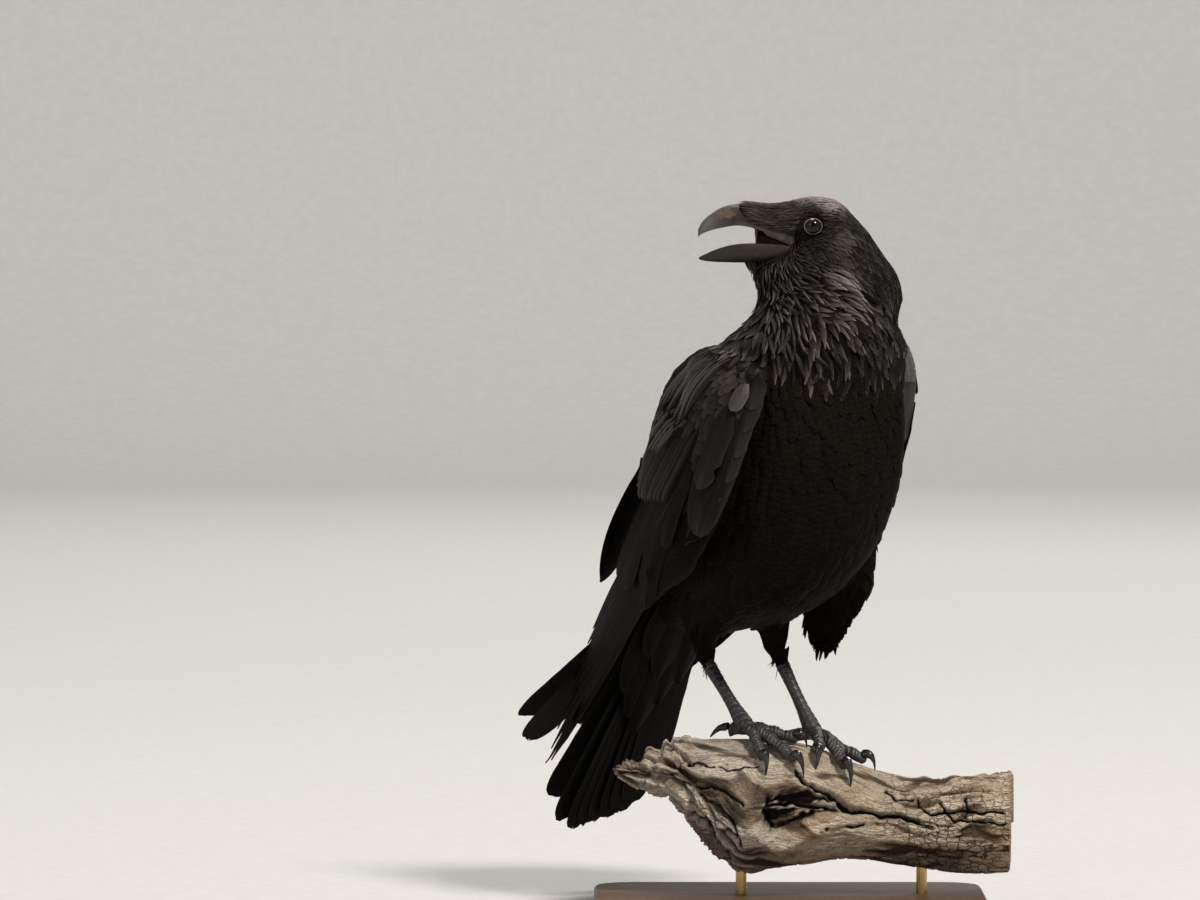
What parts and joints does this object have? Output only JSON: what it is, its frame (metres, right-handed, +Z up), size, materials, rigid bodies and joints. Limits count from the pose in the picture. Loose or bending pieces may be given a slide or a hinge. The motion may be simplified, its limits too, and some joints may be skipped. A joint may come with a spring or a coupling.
{
  "type": "perched raven figure",
  "caption": "Life-size still model of a black raven, upright on a short cut length of dead branch, bill open and turned to its right, on a plain display stand.",
  "frame": {"origin": "middle of the flat underside of the stand's board", "axes": "+Z up; -Y is the front that the camera faces; +X to that viewer's right, along the branch; the bill points to -X"},
  "size_m": [0.3635, 0.2836, 0.5299],
  "materials": {
    "plumage": "soft satin black, with a grey sheen on the throat",
    "flight_feather": "satin brownish black",
    "horn": "worn dark grey horn",
    "claw": "polished black horn",
    "leg_scale": "scaly black skin",
    "eye": "wet, very dark brown",
    "mouth": "moist dull pink and grey",
    "dead_wood": "weathered, cracked, bare",
    "stand_wood": "dark, lightly polished",
    "stand_metal": "dull"
  },
  "bodies": {
    "root": {"head": "plumage", "neck": "plumage", "trunk": "plumage", "rump": "plumage", "thigh_left": "plumage", "thigh_right": "plumage", "flank_left": "plumage", "nasal_bristles": "plumage", "wing_left_coverts": "plumage", "wing_right_coverts": "plumage", "wing_left_secondaries": "flight_feather", "wing_right_secondaries": "flight_feather", "wing_left_primaries": "flight_feather", "wing_right_primaries": "flight_feather", "tail_centre": "flight_feather", "tail_outer_right": "flight_feather", "bill_upper": "horn", "bill_lower": "horn", "tongue": "mouth", "eye_left": "eye", "eye_right": "eye", "tarsus_left": "leg_scale", "tarsus_right": "leg_scale", "toe_2_left": "leg_scale", "toe_3_left": "leg_scale", "toe_4_left": "leg_scale", "hallux_left": "leg_scale", "toe_2_right": "leg_scale", "toe_3_right": "leg_scale", "toe_4_right": "leg_scale", "hallux_right": "leg_scale", "claw_toe_2_left": "claw", "claw_toe_3_left": "claw", "claw_toe_4_left": "claw", "claw_hallux_left": "claw", "claw_toe_2_right": "claw", "claw_toe_3_right": "claw", "claw_toe_4_right": "claw", "claw_hallux_right": "claw", "perch": "dead_wood", "stand_base": "stand_wood", "stand_rod_left": "stand_metal", "stand_rod_right": "stand_metal"}
  },
  "joints": []
}
